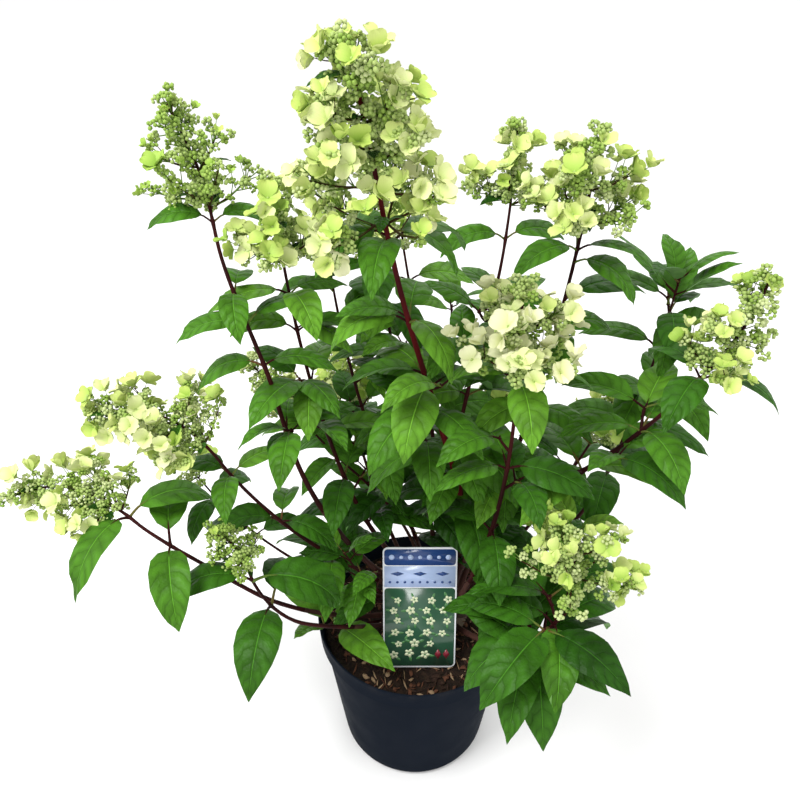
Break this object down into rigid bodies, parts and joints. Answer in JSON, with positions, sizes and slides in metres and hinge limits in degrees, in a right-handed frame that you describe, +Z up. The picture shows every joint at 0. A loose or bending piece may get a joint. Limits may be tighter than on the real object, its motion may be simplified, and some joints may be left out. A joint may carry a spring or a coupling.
{
  "type": "potted panicle hydrangea",
  "caption": "Young panicle hydrangea in a dark plastic nursery pot: arching red canes, drooping toothed leaves, cone-shaped lime-cream flower heads and a plant label.",
  "frame": {"origin": "centre of the pot's flat underside", "axes": "+Z up from the surface that the pot stands on, -Y towards the side that the plant label faces"},
  "size_m": [0.6855, 0.4097, 0.8413],
  "materials": {
    "pot": "moulded, slightly scuffed dark navy-charcoal plastic",
    "soil": "damp potting mix with bark chips",
    "label": null,
    "bark": "flaking grey-brown old wood",
    "cane_bark": "smooth dark red-brown young bark with small pale pores",
    "foliage": "satin green leaves with sunk veins",
    "bud": "matte pale green buds",
    "sepal": "soft lime-cream petals"
  },
  "bodies": {
    "root": {"pot": "pot", "potting_soil": "soil", "plant_label": "label", "trunk": "bark", "cane_leader": "cane_bark", "cane_left_tall": "cane_bark", "cane_left_middle": "cane_bark", "cane_left_back": "cane_bark", "cane_upright_back": "cane_bark", "cane_tall_back": "cane_bark", "cane_left_slender": "cane_bark", "cane_right_slender": "cane_bark", "cane_right_tall": "cane_bark", "cane_front_middle": "cane_bark", "cane_right_arching": "cane_bark", "cane_right_shoot": "cane_bark", "cane_front_right_low": "cane_bark", "cane_left_low_long": "cane_bark", "cane_front_left_low": "cane_bark", "cane_left_arching": "cane_bark", "cane_left_low_slender": "cane_bark", "cane_back_right": "cane_bark", "cane_back_middle": "cane_bark", "cane_back_left": "cane_bark", "cane_right_back_low": "cane_bark", "cane_front_left_shoot": "cane_bark", "cane_rim_sprout": "cane_bark", "cane_front_right_shoot": "cane_bark", "foliage_leader": "foliage", "foliage_left_tall": "foliage", "foliage_left_middle": "foliage", "foliage_left_back": "foliage", "foliage_upright_back": "foliage", "foliage_tall_back": "foliage", "foliage_left_slender": "foliage", "foliage_right_slender": "foliage", "foliage_right_tall": "foliage", "foliage_front_middle": "foliage", "foliage_right_arching": "foliage", "foliage_right_shoot": "foliage", "foliage_front_right_low": "foliage", "foliage_left_low_long": "foliage", "foliage_front_left_low": "foliage", "foliage_left_arching": "foliage", "foliage_left_low_slender": "foliage", "foliage_back_right": "foliage", "foliage_back_middle": "foliage", "foliage_back_left": "foliage", "foliage_right_back_low": "foliage", "foliage_front_left_shoot": "foliage", "foliage_rim_sprout": "foliage", "foliage_front_right_shoot": "foliage"}
  },
  "joints": []
}
